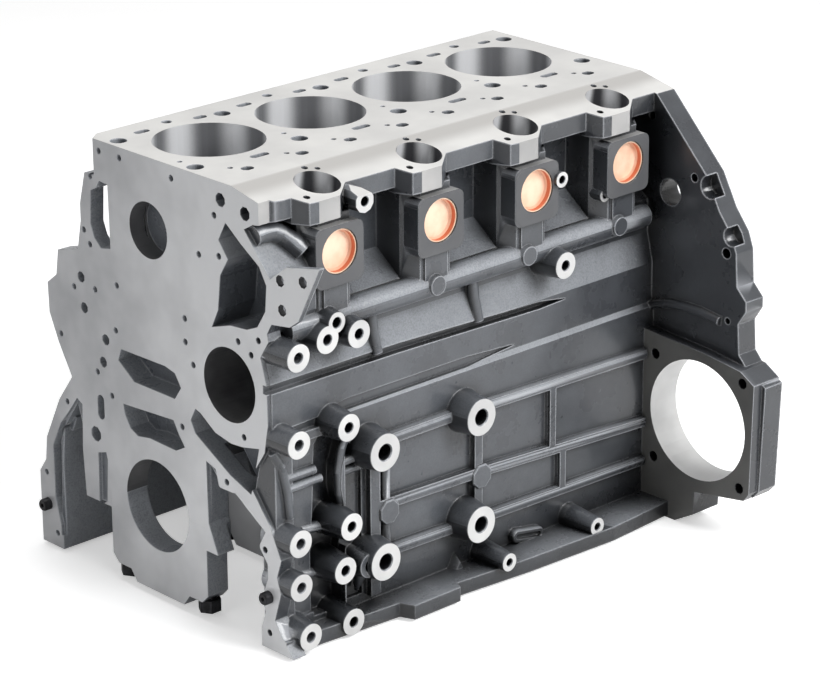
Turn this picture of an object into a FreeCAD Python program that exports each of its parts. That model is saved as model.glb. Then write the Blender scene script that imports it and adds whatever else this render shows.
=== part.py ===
import FreeCAD, Part

import math
import os

# Bare cylinder block of a four cylinder in-line diesel engine.
# The origin lies on the crank axis in the front machined face.
# X runs along the crank to the flywheel end, Z up to the deck, and -Y is the pump side.

doc = FreeCAD.newDocument("engine_block")
sheet = doc.addObject("Spreadsheet::Sheet", "Size")

# Driving dimensions in millimetres and degrees
dimensions = [
    ("deck_height", 332, "crank axis to deck face"),
    ("deck_plate", 20, "thickness of the deck plate"),
    ("deck_left", 84, "deck edge on the cooler side"),
    ("bore_radius", 51, "cylinder bore"),
    ("bore_pitch", 120, "distance between cylinders"),
    ("first_bore", 72, "front face to first cylinder"),
    ("rear_end", 16, "last main bearing's middle to flywheel face"),
    ("bore_foot", 150, "lower end of the cylinders"),
    ("barrel_wall", 9.5, "wall of a cylinder barrel"),
    ("jacket_floor", 196, "floor of the water jacket"),
    ("jacket_wall", 8, "outer wall of the water jacket"),
    ("jacket_right", 76, "pump side wall of the water jacket"),
    ("head_bolt_y", 53, "head bolt rows from the bore line"),
    ("head_bolt_radius", 7, "head bolt hole"),
    ("head_bolt_depth", 60, "head bolt hole depth"),
    ("crank_radius", 44, "main bearing housing"),
    ("web_thickness", 24, "bearing web and cap thickness"),
    ("web_relief", 5, "step from a web's bearing to its thin panels"),
    ("cap_half", 68, "half width of a bearing cap"),
    ("cap_depth", 87, "split line to cap bottom"),
    ("cap_shoulder", 76, "split line to the bolt seats"),
    ("cap_register", 22, "depth of the cap in its register"),
    ("cap_bolt_y", 56, "cap bolt from the crank axis"),
    ("cap_bolt_radius", 7, "cap bolt shank"),
    ("cap_bolt_reach", 46, "bolt above the split line"),
    ("cap_bolt_head", 11, "cap bolt head radius"),
    ("cap_bolt_head_height", 12, "cap bolt head height"),
    ("bolt_clearance", 0.5, "radial clearance of a bolt"),
    ("cam_side", 106, "cam axis from the crank axis"),
    ("cam_height", 148, "cam axis above the crank axis"),
    ("cam_radius", 34.5, "cam bore"),
    ("pump_radius", 20.7, "unit pump bore"),
    ("pump_tilt", 12, "tilt of the pump bores in degrees"),
    ("seat_start", 115, "edge of the level deck on the pump side"),
    ("tower_reach", 171, "outer face of a pump tower"),
    ("tower_left", 40, "front side of a pump tower from its bore"),
    ("tower_right", 22, "rear side of a pump tower from its bore"),
    ("tower_column", 24, "width of a tower's machined column"),
    ("tower_drop", 32, "deck face to the underside of a pump tower"),
    ("lug_drop", 20, "deck lug below the deck face"),
    ("ledge_reach", 155, "deck edge between the towers"),
    ("recess_floor", 120, "recess wall between the towers"),
    ("plug_height", 270, "core plugs above the crank axis"),
    ("plug_radius", 20.5, "core plug outside radius"),
    ("plug_face", 172, "core plug pads from the crank axis"),
    ("plug_depth", 13, "depth of a core plug seat"),
    ("plug_wall", 1.8, "sheet of a core plug"),
    ("plug_cup", 9, "height of a core plug"),
    ("plug_inset", 1.5, "core plug below its pad"),
    ("pad_half", 27.5, "half width of a core plug pad"),
    ("pad_corner", 9, "cut corner of a core plug pad"),
    ("gallery_side", 157, "oil gallery tube from the crank axis"),
    ("gallery_height", 206, "oil gallery tube above the crank axis"),
    ("gallery_tube", 11, "outer radius of the gallery tube"),
    ("panel_face", 150, "upper panels on the pump side"),
    ("ledge_height", 160, "long step above the cam"),
    ("flank_upper", 157, "flank over the cam"),
    ("flank_lower", 160, "flank of the crankcase"),
    ("rail_bottom", 90, "pan rail below the crank axis"),
    ("rail_thickness", 14, "pan rail thickness"),
    ("rail_right", 184, "pan rail edge on the pump side"),
    ("rail_left", 176, "pan rail edge on the cooler side"),
    ("stud_reach", 199, "rail studs from the crank axis"),
    ("stud_height", 70, "rail studs below the crank axis"),
    ("wall_inner", 142, "inner face of the crankcase walls"),
    ("front_plate", 15, "front plate thickness"),
    ("rear_plate", 24, "rear plate thickness"),
    ("coolant_radius", 26.2, "round coolant port in the front"),
    ("coolant_height", 264, "coolant port above the crank axis"),
    ("flange_face", 36, "accessory flange thickness"),
    ("accessory_radius", 60, "accessory bore"),
    ("accessory_side", 230, "accessory bore from the crank axis"),
    ("accessory_height", 18, "accessory bore above the crank axis"),
    ("accessory_bolt_y", 55, "half spacing of the accessory bolts"),
    ("accessory_bolt_z", 53, "half height of the accessory bolts"),
    ("mount_face", 185, "engine mount bosses from the crank axis"),
    ("mount_left", 111, "front pair of mount bosses"),
    ("mount_spacing", 119, "spacing of the mount bosses"),
    ("mount_top", 76, "upper pair of mount bosses"),
    ("mount_drop", 106, "height between the mount bosses"),
    ("mount_radius", 17, "mount boss radius"),
    ("mount_hole", 7.5, "mount boss hole radius"),
    ("boss_face", 182, "small bosses from the crank axis"),
    ("boss_radius", 12, "small boss radius"),
    ("boss_drill", 22, "depth of the boss holes"),
    ("rib_height", 6, "ribs on the crankcase flank"),
    ("dowel_radius", 6, "front dowel radius"),
    ("dowel_length", 22, "front dowel length"),
    ("dowel_proud", 8, "dowel standing out of the face"),
]
for row, (alias, number, note) in enumerate(dimensions, start=1):
    sheet.set(f"A{row}", alias)
    sheet.set(f"B{row}", str(number))
    sheet.set(f"C{row}", note)
    sheet.setAlias(f"B{row}", alias)
doc.recompute()


def size(formula):
    """A length worked out from the sheet."""
    return float(sheet.evalExpression(bound(formula)))


def bound(formula):
    """The formula with every dimension named as a cell of the sheet."""
    words = []
    for word in str(formula).replace("(", " ( ").replace(")", " ) ").split():
        words.append(f"Size.{word}" if word in aliases else word)
    return " ".join(words)


aliases = {alias for alias, number, note in dimensions}
block_length = "( first_bore + 3.5 * bore_pitch + rear_end )"
rotations = {
    "XY": FreeCAD.Rotation(),
    "XZ": FreeCAD.Rotation(FreeCAD.Vector(1, 0, 0), 90),
    "YZ": FreeCAD.Rotation(FreeCAD.Vector(1, 1, 1), 120),
}
normals = {
    "XY": FreeCAD.Vector(0, 0, 1),
    "XZ": FreeCAD.Vector(0, 1, 0),
    "YZ": FreeCAD.Vector(1, 0, 0),
}
axis_names = {"XY": "z", "XZ": "y", "YZ": "x"}


def rounded(points, radius):
    """Edges of a closed outline whose corners are turned with one radius."""
    corners = []
    count = len(points)
    for index in range(count):
        here = FreeCAD.Vector(*points[index], 0)
        back = FreeCAD.Vector(*points[index - 1], 0) - here
        ahead = FreeCAD.Vector(*points[(index + 1) % count], 0) - here
        turn = back.getAngle(ahead)
        reach = min(back.Length, ahead.Length) * 0.45
        cut = min(radius / math.tan(turn / 2), reach)
        real = cut * math.tan(turn / 2)
        back.normalize()
        ahead.normalize()
        middle = (back + ahead).normalize()
        centre = here + middle * (real / math.sin(turn / 2))
        corners.append((here + back * cut, centre - middle * real, here + ahead * cut))
    edges = []
    for index in range(count):
        start, top, end = corners[index]
        edges.append(Part.Arc(start, top, end))
        edges.append(Part.LineSegment(end, corners[(index + 1) % count][0]))
    return edges


def straight(points):
    """Edges of a closed outline with sharp corners."""
    corners = [FreeCAD.Vector(*point, 0) for point in points]
    return [Part.LineSegment(corners[i - 1], corners[i]) for i in range(len(corners))]


def disc(across, up, radius):
    """A circle in a sketch."""
    return [Part.Circle(FreeCAD.Vector(across, up, 0), FreeCAD.Vector(0, 0, 1), radius)]


def cast_round(across, up, radius, sides=12):
    """A rough or hidden round, drawn as a regular polygon."""
    steps = [math.tau * (k + 0.5) / sides for k in range(sides)]
    return straight([(across + radius * math.cos(a), up + radius * math.sin(a)) for a in steps])


def passage(across, up, half, rise, bevel=None):
    """An outline with cut corners, as long as twice the half and as high as twice the rise."""
    bevel = bevel or rise * 0.6
    return straight([
        (across - half, up - rise + bevel), (across - half + bevel, up - rise),
        (across + half - bevel, up - rise), (across + half, up - rise + bevel),
        (across + half, up + rise - bevel), (across + half - bevel, up + rise),
        (across - half + bevel, up + rise), (across - half, up + rise - bevel),
    ])


def prism(name, plane, low, high, *loops):
    """A sketch in a main plane, extruded from the low to the high coordinate."""
    sketch = doc.addObject("Sketcher::SketchObject", f"{name}_sketch")
    sketch.Placement = FreeCAD.Placement(normals[plane] * size(low), rotations[plane])
    sketch.setExpression(f"Placement.Base.{axis_names[plane]}", bound(low))
    for loop in loops:
        sketch.addGeometry(loop, False)
    solid = doc.addObject("Part::Extrusion", name)
    solid.Base = sketch
    solid.DirMode = "Custom"
    solid.Dir = normals[plane]
    solid.Solid = True
    solid.LengthFwd = size(high) - size(low)
    solid.setExpression("LengthFwd", bound(f"( {high} ) - ( {low} )"))
    return solid


def rod(name, radius, length, base, direction):
    """A cylinder that starts at a point and runs along a direction."""
    solid = doc.addObject("Part::Cylinder", name)
    solid.Radius = size(radius)
    solid.setExpression("Radius", bound(radius))
    solid.Height = size(length)
    solid.setExpression("Height", bound(length))
    turn = FreeCAD.Rotation(FreeCAD.Vector(0, 0, 1), FreeCAD.Vector(*direction))
    solid.Placement = FreeCAD.Placement(FreeCAD.Vector(*base), turn)
    return solid


def fused(name, solids, merge_faces=False):
    """All solids as one."""
    result = doc.addObject("Part::MultiFuse", name)
    result.Shapes = solids
    result.Refine = merge_faces
    return result


def cut(name, base, tool):
    """The base without the tool."""
    result = doc.addObject("Part::Cut", name)
    result.Base = base
    result.Tool = tool
    result.Refine = False
    return result


def bore_x(index):
    """X of a cylinder axis."""
    return size("first_bore") + index * size("bore_pitch")


def web_x(index):
    """X of a main bearing's middle."""
    return bore_x(index) - size("bore_pitch") / 2


cylinders = range(4)
bearings = range(5)
length = size(block_length)
deck = size("deck_height")
slope = math.tan(math.radians(size("pump_tilt")))
seat_start = size("seat_start")
rail = size("rail_bottom")
crank_radius = size("crank_radius")
cam_side = size("cam_side")
cam_height = size("cam_height")
through = 2


def seat_z(side):
    """Height of the pump seat at a distance from the crank axis."""
    return deck - max(0, side - seat_start) * slope


# Casting, outer form
wall_inner = size("wall_inner")
deck_left = size("deck_left")
ledge = size("ledge_height")
panel_face = size("panel_face")
recess_floor = size("recess_floor")
flank_upper = size("flank_upper")
flank_lower = size("flank_lower")
cap_half = size("cap_half")
gallery_height = size("gallery_height")
groove_top = 124
groove_foot = 113
body_outline = [
    (deck_left, deck), (deck_left, 205), (114, 176), (118, 92), (146, 20), (150, 16 - rail),
    (150, -rail), (-flank_lower, -rail), (-flank_lower, groove_foot),
    (3 - flank_lower, groove_foot + 4), (-flank_upper, groove_top), (-flank_upper, ledge - 4),
    (-panel_face, gallery_height - 20), (-panel_face, gallery_height + 12),
    (-recess_floor, 240), (-recess_floor, deck),
]
deck_edge = [
    (deck_left, deck), (-seat_start, deck),
    (-size("ledge_reach"), seat_z(size("ledge_reach"))),
    (-size("ledge_reach"), seat_z(size("ledge_reach")) - size("deck_plate") + 2),
    (-recess_floor, deck - size("deck_plate") - 12), (deck_left, deck - size("deck_plate") - 12),
]
front_outline = [
    (deck_left, deck), (88, 300), (97, 266), (97, 250), (103, 221), (133, 213), (137, 188),
    (151, 177), (150, 148), (138, 122), (120, 92), (141, 64), (163, 20), (166, -4), (176, -18),
    (176, -rail), (147, -rail), (147, -66), (154, -40), (154, 14), (141, 40), (127, 56),
    (114, 73), (106, 69), (108, 24), (105, -size("cap_register")),
    (cap_half, -size("cap_register")), (cap_half, 0), (-cap_half, 0),
    (-cap_half, -size("cap_register")),
    (-84, -size("cap_register")), (-83, -6), (-72, 5), (-71, 66), (-84, 62), (-88, 47),
    (-96, 43), (-110, 47), (-150, 22), (-141, 6), (-152, -8), (-152, -22), (-143, -45),
    (-148, -55), (-142, -72), (-142, -rail), (-184, -rail), (-168, -71), (-160, -60),
    (-169, -31), (-164, -17), (-170, 1), (-157, 28), (-131, 60), (-134, 72), (-151, 97),
    (-156, 125), (-155, 162), (-148, 185), (-159, 202), (-155, 218), (-164, 256), (-129, 296),
    (-141, 303), (-143, seat_z(143)), (-seat_start, deck),
]
left_window = [
    (56, 293), (55, 233), (69, 230), (78, 238), (83, 250), (81, 282), (73, 286), (68, 294),
]
middle_window = [
    (50, 128), (45, 140), (-17, 141), (-31, 138), (-39, 126), (-30, 113), (28, 113),
]
lower_window = [
    (45, 87), (-27, 92), (-34, 80), (-42, 70), (-29, 63), (8, 64), (25, 61), (36, 66), (43, 77),
]
cam_window = [
    (-57, 88), (-51, 99), (-58, 112), (-65, 110), (-85, 97), (-107, 93), (-121, 94),
    (-144, 99), (-132, 52), (-104, 62),
]
pocket_window = [
    (-106, 297), (-125, 283), (-149, 268), (-158, 253), (-156, 229), (-145, 212), (-131, 206),
    (-109, 204), (-84, 196), (-93, 214), (-97, 247), (-108, 264), (-96, 279),
]
shoulder_outline = [
    (-110, deck - 24), (-130, deck - 35), (-165, 257), (-165, 222), (-155, 205), (-110, 196),
]
ear_outline = [
    (-160, 258), (-171, 266), (-184, 276), (-226, 285), (-198, 231), (-187, 223), (-155, 218),
]
rear_outline = [
    (deck_left, deck), (90, 250), (140, 190), (176, 110), (190, 20), (182, -50), (176, -rail),
    (-205, -rail - 3), (-228, -rail + 10), (-229, -56), (-292, -46), (-299, -38), (-303, 68),
    (-279, 81), (-269, 92), (-267, 122), (-276, 136), (-276, 146), (-264, 158), (-262, 190),
    (-256, 206), (-240, 226), (-223, 257), (-158, seat_z(158)), (-seat_start, deck),
]
flange_outline = [
    (-145, 70), (-160, 93), (-185, 91), (-234, 88), (-282, 82), (-299, 72),
    (-297, -38), (-291, -46), (-229, -56), (-228, -80), (-205, -rail - 3), (-184, -rail - 3),
    (-145, -rail),
]

casting = [
    prism("body", "YZ", "4", f"{block_length} - 4", straight(body_outline)),
    prism("deck_edge", "YZ", "0", block_length, straight(deck_edge)),
    prism("front", "YZ", "0", "front_plate", straight(front_outline), straight(left_window),
          straight(middle_window), straight(lower_window)),
    prism("shoulder", "YZ", "0", "50", straight(shoulder_outline)),
    prism("ear", "YZ", "0", "12", straight(ear_outline)),
    prism("rear", "YZ", f"{block_length} - rear_plate", block_length, straight(rear_outline)),
    prism("flange", "YZ", f"{block_length} - flange_face", block_length,
          straight(flange_outline)),
]

# Pan rails
rail_right = size("rail_right")
rail_left = size("rail_left")
rail_outline = [
    (0, -142), (0, -175), (43, -177), (128, -rail_right), (134, -198), (191, -198), (195, -189),
    (282, -197), (390, -202), (length - size("flange_face"), -196),
    (length - size("flange_face"), -142),
]
casting += [
    prism("rail_right_side", "XY", "0 - rail_bottom", "rail_thickness - rail_bottom",
          straight(rail_outline)),
    prism("rail_left_side", "XY", "0 - rail_bottom", "rail_thickness - rail_bottom",
          straight([(0, 144), (0, rail_left), (length, rail_left), (length, 144)])),
]

# Pump towers with their core plug pads and machined columns
tower_left = size("tower_left")
tower_right = size("tower_right")
column_start = size("pump_radius") + 1.5
column_end = column_start - size("tower_column")
tower_reach = size("tower_reach")
ledge_reach = size("ledge_reach")
pad_half = size("pad_half")
plug_height = size("plug_height")
for index in cylinders:
    centre = bore_x(index)
    tower = [
        (centre - tower_left, -recess_floor), (centre - tower_left, -ledge_reach),
        (centre - column_start - 10, -tower_reach + 1), (centre - column_start, -tower_reach),
        (centre - column_end, -tower_reach), (centre + tower_right, -ledge_reach),
        (centre + tower_right, -recess_floor),
    ]
    casting.append(prism(f"tower_{index + 1}", "XY", "deck_height - tower_drop", "deck_height",
                         straight(tower)))
    trunk = [
        (centre - 30, -recess_floor + 10), (centre - 30, -150), (centre - 18, -164),
        (centre + 18, -164), (centre + 30, -150), (centre + 30, -recess_floor + 10),
    ]
    casting.append(prism(f"trunk_{index + 1}", "XY", "gallery_height - 4",
                         "deck_height - tower_drop + 2",
                         straight(trunk)))
    casting.append(prism(f"pad_{index + 1}", "XZ", "0 - plug_face", "0 - 110",
                         passage(centre, plug_height - 3, pad_half, pad_half, size("pad_corner"))))
    leg = [
        (centre - 14, gallery_height - 6), (centre + 14, gallery_height - 6),
        (centre + 14, plug_height),
        (centre - 14, plug_height),
    ]
    casting.append(prism(f"leg_{index + 1}", "XZ", "6 - plug_face", "0 - 110", straight(leg)))

# Oil gallery tube
casting.append(prism("gallery", "YZ", "20", f"{block_length} - 40", cast_round(
    -size("gallery_side"), gallery_height, size("gallery_tube"), 8)))

# Cam housing behind the front plate is solid, and its bore is cut later
rough = fused("rough_casting", casting, True)

# Hollows of the casting
web = size("web_thickness")
bay_outline = [
    (-wall_inner, -rail - through), (-wall_inner, 32), (-112, 60), (-92, 86), (-66, 104),
    (-62, size("bore_foot")), (62, size("bore_foot")), (66, 116), (98, 92), (126, 44),
    (144, 10), (144, -rail - through),
]
panel_left = [
    (-wall_inner, -rail - through), (-wall_inner, 32), (-112, 60), (-92, 86), (-74, 98),
    (-74, -rail - through),
]
panel_right = [
    (76, -rail - through), (76, 106), (98, 92), (126, 44), (144, 10), (144, -rail - through),
]
hollows = []
for index in cylinders:
    low = web_x(index) + web / 2
    high = web_x(index + 1) - web / 2
    hollows.append(prism(f"bay_{index + 1}", "YZ", low, high, straight(bay_outline)))
    hollows.append(prism(f"web_panels_{index + 1}", "YZ", f"{low} - web_relief",
                         f"{high} + web_relief", straight(panel_left), straight(panel_right)))
side_left = [
    (110, -rail - through), (110, 40), (118, 66), (140, 36), (144, 0), (144, -rail - through),
]
side_right = [
    (-86, -rail - through), (-84, -22), (-72, 6), (-72, 62), (-88, 46), (-110, 46),
    (-wall_inner, 26), (-wall_inner, -rail - through),
]
under = [
    (-90, -rail - through), (-90, -size("cap_register")), (112, -size("cap_register")),
    (112, -rail - through),
]
register = [
    (-cap_half, -rail), (-cap_half, 0), (cap_half, 0), (cap_half, -rail),
]
hollows += [
    prism("clear_left", "YZ", "0 - 2", f"{block_length} - rear_plate", straight(side_left)),
    prism("clear_right", "YZ", "0 - 2", f"{block_length} - rear_plate", straight(side_right)),
    prism("clear_under", "YZ", "0 - 2", f"{block_length} + 2", straight(under)),
    prism("cap_seat", "YZ", "0 - 2", f"{block_length} + 2", straight(register)),
    prism("rear_under", "YZ", f"{block_length} - rear_plate - 2", f"{block_length} + 2",
          straight([(-112, -rail - 5), (-96, -22), (112, -22), (126, -rail - 5)])),
    prism("pocket", "YZ", "0 - 2", "43", straight(pocket_window)),
    prism("cam_pocket", "YZ", "0 - 2", "22", straight(cam_window)),
    prism("timing_pocket", "YZ", "0 - 2", "22", straight(middle_window),
          straight(lower_window)),
    prism("left_port", "YZ", "0 - 2", "30", straight(left_window)),
]

# Water jacket round the barrels, open to the cooler side
jacket_outline = [
    (16, -size("jacket_right")), (length - 20, -size("jacket_right")),
    (length - 20, deck_left - size("jacket_wall")), (16, deck_left - size("jacket_wall")),
]
barrel_radius = size("bore_radius") + size("barrel_wall")
barrels = [cast_round(bore_x(i), 0, barrel_radius, 16) for i in cylinders]
jacket = prism("jacket", "XY", "jacket_floor", "deck_height - deck_plate",
               straight(jacket_outline))
columns = [
    straight([(web_x(i) - 11, side * 40), (web_x(i) + 11, side * 40), (web_x(i) + 11, side * 90),
              (web_x(i) - 11, side * 90)])
    for i in bearings for side in (1, -1)]
barrel = fused("barrels", [
    prism(f"barrel_{i + 1}", "XY", "jacket_floor - 1", "deck_height - deck_plate + 1", loop)
    for i, loop in enumerate(barrels + columns)])
hollows.append(cut("jacket_space", jacket, barrel))
cooler_outline = [(15, 210), (300, 210), (300, 296), (15, 296)]
hollows.append(prism("cooler_port", "XZ", "deck_left - jacket_wall - 3", "deck_left + 4",
                     rounded(cooler_outline, 12)))
hollows.append(prism("coolant_port", "YZ", "0 - 2", "20",
                     disc(0, size("coolant_height"), size("coolant_radius"))))
flank_recess = [(24, -66), (60, -66), (60, 100), (24, 100)]
flank_recess_rear = [(80, -66), (104, -66), (104, 62), (80, 100)]
hollows.append(prism("flank_recess", "XZ", "0 - flank_lower - 2", "6 - flank_lower - 2",
                     straight(flank_recess), straight(flank_recess_rear)))
hollow_casting = cut("hollow_casting", rough, fused("hollows", hollows))

# Bosses and ribs on the pump side
mount_left = size("mount_left")
mount_right = mount_left + size("mount_spacing")
mount_top = size("mount_top")
mount_low = mount_top - size("mount_drop")
mount_bosses = [
    (mount_left, mount_top), (mount_right, mount_top), (mount_right, mount_low),
    (mount_left, mount_low),
]
small_bosses = [
    (13, 17), (13, -25), (23, -76), (74, -78), (65, -25), (73, 15), (71, 110), (13, 110),
    (14, 190), (84, 194), (340, 194),
]
link_bosses = [(51, 196), (62, 209)]
boss_root = "0 - wall_inner - 4"
bosses = [
    prism("mount_bosses", "XZ", "0 - mount_face", boss_root,
          *[cast_round(x, z, size("mount_radius"), 12) for x, z in mount_bosses]),
    prism("small_bosses", "XZ", "0 - boss_face", boss_root,
          *[cast_round(x, z, size("boss_radius"), 10) for x, z in small_bosses]),
    prism("link_boss", "XZ", "4 - boss_face", boss_root,
          cast_round(*link_bosses[0], 12, 10)),
    prism("deck_lug", "XZ", "2 - boss_face", boss_root,
          cast_round(bore_x(0) + 22, deck - size("lug_drop"), 10.5, 10)),
    prism("link_boss_top", "XZ", "4 - boss_face", boss_root,
          cast_round(*link_bosses[1], 9, 10)),
    prism("rail_studs", "XZ", "0 - stud_reach", boss_root,
          *[cast_round(x, -size("stud_height"), 8.5, 10) for x in (252, 369)]),
]
rib_bars = [
    [(120, 71), (209, 71), (470, 64), (470, 73), (209, 81), (120, 81)],
    [(120, 10), (254, 6), (470, -6), (470, 3), (254, 16), (120, 20)],
    [(120, -37), (263, -41), (470, -46), (470, -38), (263, -32), (120, -28)],
    [(240, -30), (250, -30), (250, 78), (240, 78)],
    [(338, 4), (346, 4), (346, 74), (338, 74)],
    [(352, -38), (360, -38), (360, 2), (352, 2)],
    [(110, -70), (122, -70), (122, 78), (110, 78)],
    [(60, -70), (80, -70), (80, 110), (60, 110)],
]
panel_bars = [
    [(124, 152), (134, 152), (128, 200), (118, 200)],
    [(248, 152), (258, 152), (252, 200), (242, 200)],
]
bosses += [
    prism(f"flank_rib_{i + 1}", "XZ", "0 - flank_lower - rib_height", "0 - flank_lower + 2",
          straight(bar)) for i, bar in enumerate(rib_bars)]
bosses.append(prism("panel_ribs", "XZ", "0 - panel_face - rib_height", "2 - panel_face",
                    *[straight(bar) for bar in panel_bars]))
dressed_casting = fused("dressed_casting", [hollow_casting] + bosses)

# Machined bores and holes
drilled = [
    prism("cylinder_bores", "XY", "bore_foot - 1", "deck_height + 2",
          *[disc(bore_x(i), 0, size("bore_radius")) for i in cylinders]),
    rod("crank_bore", "crank_radius", f"{block_length} + 4", (-through, 0, 0), (1, 0, 0)),
    rod("cam_bore", "cam_radius", f"{block_length} + 4", (-through, -cam_side, cam_height),
        (1, 0, 0)),
    rod("accessory_bore", "accessory_radius", "flange_face + 4",
        (length - size("flange_face") - through, -size("accessory_side"),
         size("accessory_height")), (1, 0, 0)),
]
tilt = math.radians(size("pump_tilt"))
pump_axis = (0, -math.sin(tilt), math.cos(tilt))
for index in cylinders:
    drilled.append(rod(f"pump_bore_{index + 1}", "pump_radius",
                       f"( deck_height - cam_height ) / {math.cos(tilt)} + pump_radius",
                       (bore_x(index), -cam_side, cam_height), pump_axis))
skim_reach = tower_reach + 40
skim = prism("seat_skim", "YZ", "0 - 2", f"{block_length} + 2", straight([
    (-seat_start, deck), (-skim_reach, seat_z(skim_reach)), (-skim_reach, deck + 20),
    (-seat_start, deck + 20)]))
drilled.append(skim)
plug_sides = 32
drilled.append(prism("plug_seats", "XZ", "0 - plug_face - 1", "plug_depth - plug_face",
                     *[cast_round(bore_x(i), plug_height, size("plug_radius"), plug_sides)
                       for i in cylinders]))
head_bolts = [(web_x(i), side * size("head_bolt_y")) for i in bearings for side in (1, -1)]
drilled.append(prism("head_bolt_holes", "XY", "deck_height - head_bolt_depth",
                     "deck_height + 2",
                     *[disc(x, y, size("head_bolt_radius")) for x, y in head_bolts]))
water_holes = []
for index in cylinders:
    centre = bore_x(index)
    water_holes += [
        passage(centre - 28, 60, 8, 4), passage(centre + 38, 58, 7, 4),
        passage(centre + 2, -66, 10, 4), passage(centre - 30, -87, 6, 5),
        passage(centre + 33, -87, 6, 5),
    ]
drilled.append(prism("water_holes", "XY", "deck_height - deck_plate - 2", "deck_height + 2",
                     *water_holes))
drilled.append(prism("mount_holes", "XZ", "0 - mount_face - 1", "boss_drill - mount_face",
                     *[disc(x, z, size("mount_hole")) for x, z in mount_bosses]))
accessory_bolts = [
    (-size("accessory_side") + a * size("accessory_bolt_y"),
     size("accessory_height") + b * size("accessory_bolt_z"))
    for a in (1, -1) for b in (1, -1)]
drilled.append(prism("accessory_holes", "YZ", f"{block_length} - flange_face - 1",
                     f"{block_length} - flange_face + 24",
                     *[cast_round(y, z, 5.5, 8) for y, z in accessory_bolts]))
oil_drains = [
    (100, 195, 5), (97, 166, 5), (67, 143, 5), (72, 120, 5), (87, 45, 7), (-100, 316, 6),
    (-132, 311, 6), (-176, 262, 5), (-205, 268, 5), (-178, 236, 5),
]
drilled.append(prism("front_openings", "YZ", "0 - 2", "14",
                     *[passage(y, z, radius, radius) for y, z, radius in oil_drains]))
dowel_places = {"left": (165, -49), "right": (-153, -39)}
drilled.append(prism("dowel_holes", "YZ", "0 - 2", "dowel_length - dowel_proud",
                     *[cast_round(y, z, size("dowel_radius"), 12)
                       for y, z in dowel_places.values()]))
cap_bolt_places = [(web_x(i), side * size("cap_bolt_y")) for i in bearings for side in (1, -1)]
bolt_hole = size("cap_bolt_radius") + size("bolt_clearance")
drilled.append(prism("cap_bolt_holes", "XY", "0 - 5", "cap_bolt_reach + 3",
                     *[cast_round(x, y, bolt_hole, 8) for x, y in cap_bolt_places]))
finished = cut("machined_casting", dressed_casting, fused("machining", drilled))
finished.Label = "cylinder_block"


def origin_plane(body, role):
    """One of a body's own main planes."""
    return next(item for item in body.Origin.OriginFeatures if item.Role == role)


def body_sketch(body, name, role, offset, edges):
    """A sketch on a main plane of a body, moved along the plane's normal."""
    sketch = body.newObject("Sketcher::SketchObject", name)
    sketch.AttachmentSupport = [(origin_plane(body, role), "")]
    sketch.MapMode = "FlatFace"
    sketch.AttachmentOffset = FreeCAD.Placement(
        FreeCAD.Vector(0, 0, size(offset)), FreeCAD.Rotation())
    sketch.setExpression("AttachmentOffset.Base.z", bound(offset))
    for loop in edges:
        sketch.addGeometry(loop, False)
    return sketch


def bearing_cap(index):
    """A main bearing cap: a bridge with a belly round the crank and two flat bolt seats."""
    half = size("cap_half")
    seat = size("cap_shoulder")
    belly = size("cap_depth")
    inner = size("cap_bolt_y") - size("cap_bolt_head") - 3
    outline = [
        (-crank_radius, 0), (-half, 0), (-half, 8 - seat), (8 - half, -seat), (-inner, -seat),
        (8 - inner, -belly), (inner - 8, -belly), (inner, -seat), (half - 8, -seat),
        (half, 8 - seat), (half, 0), (crank_radius, 0),
    ]
    corners = [FreeCAD.Vector(*point, 0) for point in outline]
    edges = [Part.LineSegment(corners[i], corners[i + 1]) for i in range(len(corners) - 1)]
    edges.append(Part.Arc(corners[-1], FreeCAD.Vector(0, -crank_radius, 0), corners[0]))
    body = doc.addObject("PartDesign::Body", f"cap_{index + 1}")
    body.Label = f"main_bearing_cap_{index + 1}"
    low = f"first_bore + ( {index} - 0.5 ) * bore_pitch - web_thickness / 2"
    pad = body.newObject("PartDesign::Pad", f"cap_{index + 1}_pad")
    pad.Profile = body_sketch(body, f"cap_{index + 1}_profile", "YZ_Plane", low, [edges])
    pad.Length = web
    pad.setExpression("Length", bound("web_thickness"))
    holes = [cast_round(web_x(index), side * size("cap_bolt_y"), bolt_hole, 8)
             for side in (1, -1)]
    pocket = body.newObject("PartDesign::Pocket", f"cap_{index + 1}_holes")
    pocket.Profile = body_sketch(body, f"cap_{index + 1}_bolts", "XY_Plane", "0", holes)
    pocket.Length = belly + through
    pocket.setExpression("Length", bound("cap_depth + 2"))
    return body


def cap_bolt(name, across, side):
    """A bolt with a hexagon head under the cap and its shank up into the web."""
    shank = prism(f"{name}_shank", "XY", "0 - cap_shoulder", "cap_bolt_reach",
                  cast_round(across, side, size("cap_bolt_radius"), 8))
    head = doc.addObject("Part::Prism", f"{name}_head")
    head.Polygon = 6
    head.Circumradius = size("cap_bolt_head")
    head.setExpression("Circumradius", bound("cap_bolt_head"))
    head.Height = size("cap_bolt_head_height")
    head.setExpression("Height", bound("cap_bolt_head_height"))
    drop = size("cap_shoulder") + size("cap_bolt_head_height")
    head.Placement.Base = FreeCAD.Vector(across, side, -drop)
    return fused(name, [head, shank])


def core_plug(index):
    """A pressed cup with its open side outwards, below the face of its pad."""
    centre = (bore_x(index), plug_height)
    radius = size("plug_radius")
    outer = prism(f"plug_{index + 1}_outside", "XZ", "plug_inset - plug_face",
                  "plug_inset - plug_face + plug_cup", cast_round(*centre, radius, plug_sides))
    inner = prism(f"plug_{index + 1}_inside", "XZ", "plug_inset - plug_face - 1",
                  "plug_inset - plug_face + plug_cup - plug_wall",
                  cast_round(*centre, radius - size("plug_wall"), 16))
    return cut(f"plug_{index + 1}", outer, inner)


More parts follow.
